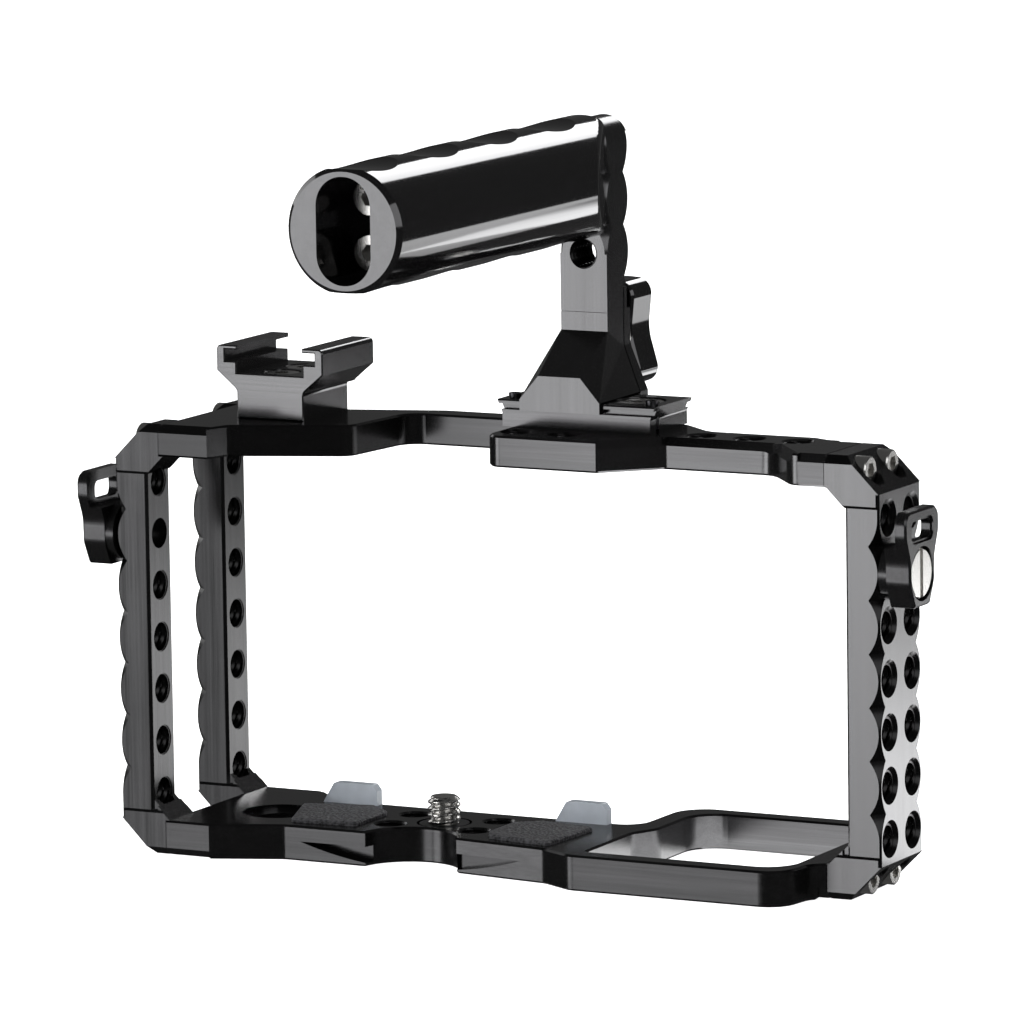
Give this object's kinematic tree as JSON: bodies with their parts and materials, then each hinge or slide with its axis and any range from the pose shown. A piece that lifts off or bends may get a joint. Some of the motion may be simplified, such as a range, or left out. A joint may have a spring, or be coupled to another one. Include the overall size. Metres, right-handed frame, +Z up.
{
  "type": "camera cage",
  "caption": "Black anodised camera cage with rows of threaded side holes, a cold shoe, swivelling strap lugs and a round top handle on a clamped rail.",
  "frame": {"origin": "centre of the whole object's outline seen from above, on the plane of the frame's underside", "axes": "+X to the right, +Y away from the viewer (the grip points to -Y), +Z up"},
  "size_m": [0.1684, 0.1132, 0.1414],
  "materials": {
    "anodised": "satin black anodised, fine milled lines",
    "handle_gloss": "polished black anodised",
    "steel": "bright machined steel",
    "dark_steel": "blackened",
    "pad_rubber": "fine grained",
    "stop_plastic": "frosted grey"
  },
  "bodies": {
    "frame": {"base_plate": "anodised", "left_front_post": "anodised", "left_rear_post": "anodised", "right_wall": "anodised", "top_plate": "anodised", "left_front_post_screws": "steel", "left_rear_post_screws": "steel", "right_wall_screws": "steel", "cold_shoe": "anodised", "cold_shoe_screws": "steel", "handle_rail": "anodised", "rail_screws": "steel", "rail_stop_screws": "dark_steel", "left_pad": "pad_rubber", "right_pad": "pad_rubber", "left_stop": "stop_plastic", "right_stop": "stop_plastic", "left_lug_screw": "steel", "right_lug_screw": "steel"},
    "handle": {"handle_post": "handle_gloss", "handle_grip": "handle_gloss", "handle_grip_screws": "steel"},
    "jaw": {"clamp_jaw": "handle_gloss", "jaw_pin": "steel"},
    "knob": {"clamp_knob": "handle_gloss", "clamp_screw": "steel", "knob_washer": "steel"},
    "screw_ring": {"camera_screw_ring": "dark_steel"},
    "screw": {"camera_screw": "steel"},
    "left_lug": {"left_strap_lug": "anodised"},
    "right_lug": {"right_strap_lug": "anodised"}
  },
  "joints": [
    {"name": "handle_slide", "type": "slide", "parent": "frame", "child": "handle", "axis": [1, 0, 0], "range_m": [-0.0016, 0.0076]},
    {"name": "jaw_open", "type": "slide", "parent": "handle", "child": "jaw", "axis": [0, 1, 0], "range_m": [0, 0.0021]},
    {"name": "knob_turn", "type": "hinge", "parent": "jaw", "child": "knob", "pos_m": [0.00635, 0.0536, 0.0985], "axis": [0, -1, 0], "range_deg": [0, 900]},
    {"name": "camera_screw_float", "type": "slide", "parent": "frame", "child": "screw_ring", "axis": [0, 0, 1], "range_m": [-0.0006, 0.0005]},
    {"name": "camera_screw_turn", "type": "hinge", "parent": "screw_ring", "child": "screw", "pos_m": [-0.01765, 0.0236, 0.006], "axis": [0, 0, 1], "continuous": true},
    {"name": "left_lug_swivel", "type": "hinge", "parent": "frame", "child": "left_lug", "pos_m": [-0.08065, 0.0089, 0.0615], "axis": [1, 0, 0], "continuous": true},
    {"name": "right_lug_swivel", "type": "hinge", "parent": "frame", "child": "right_lug", "pos_m": [0.08035, 0.0201, 0.0615], "axis": [1, 0, 0], "continuous": true}
  ],
  "couplings": [
    {"joint": "jaw_open", "follows": "knob_turn", "m_per_rad": 0.00012732}
  ]
}
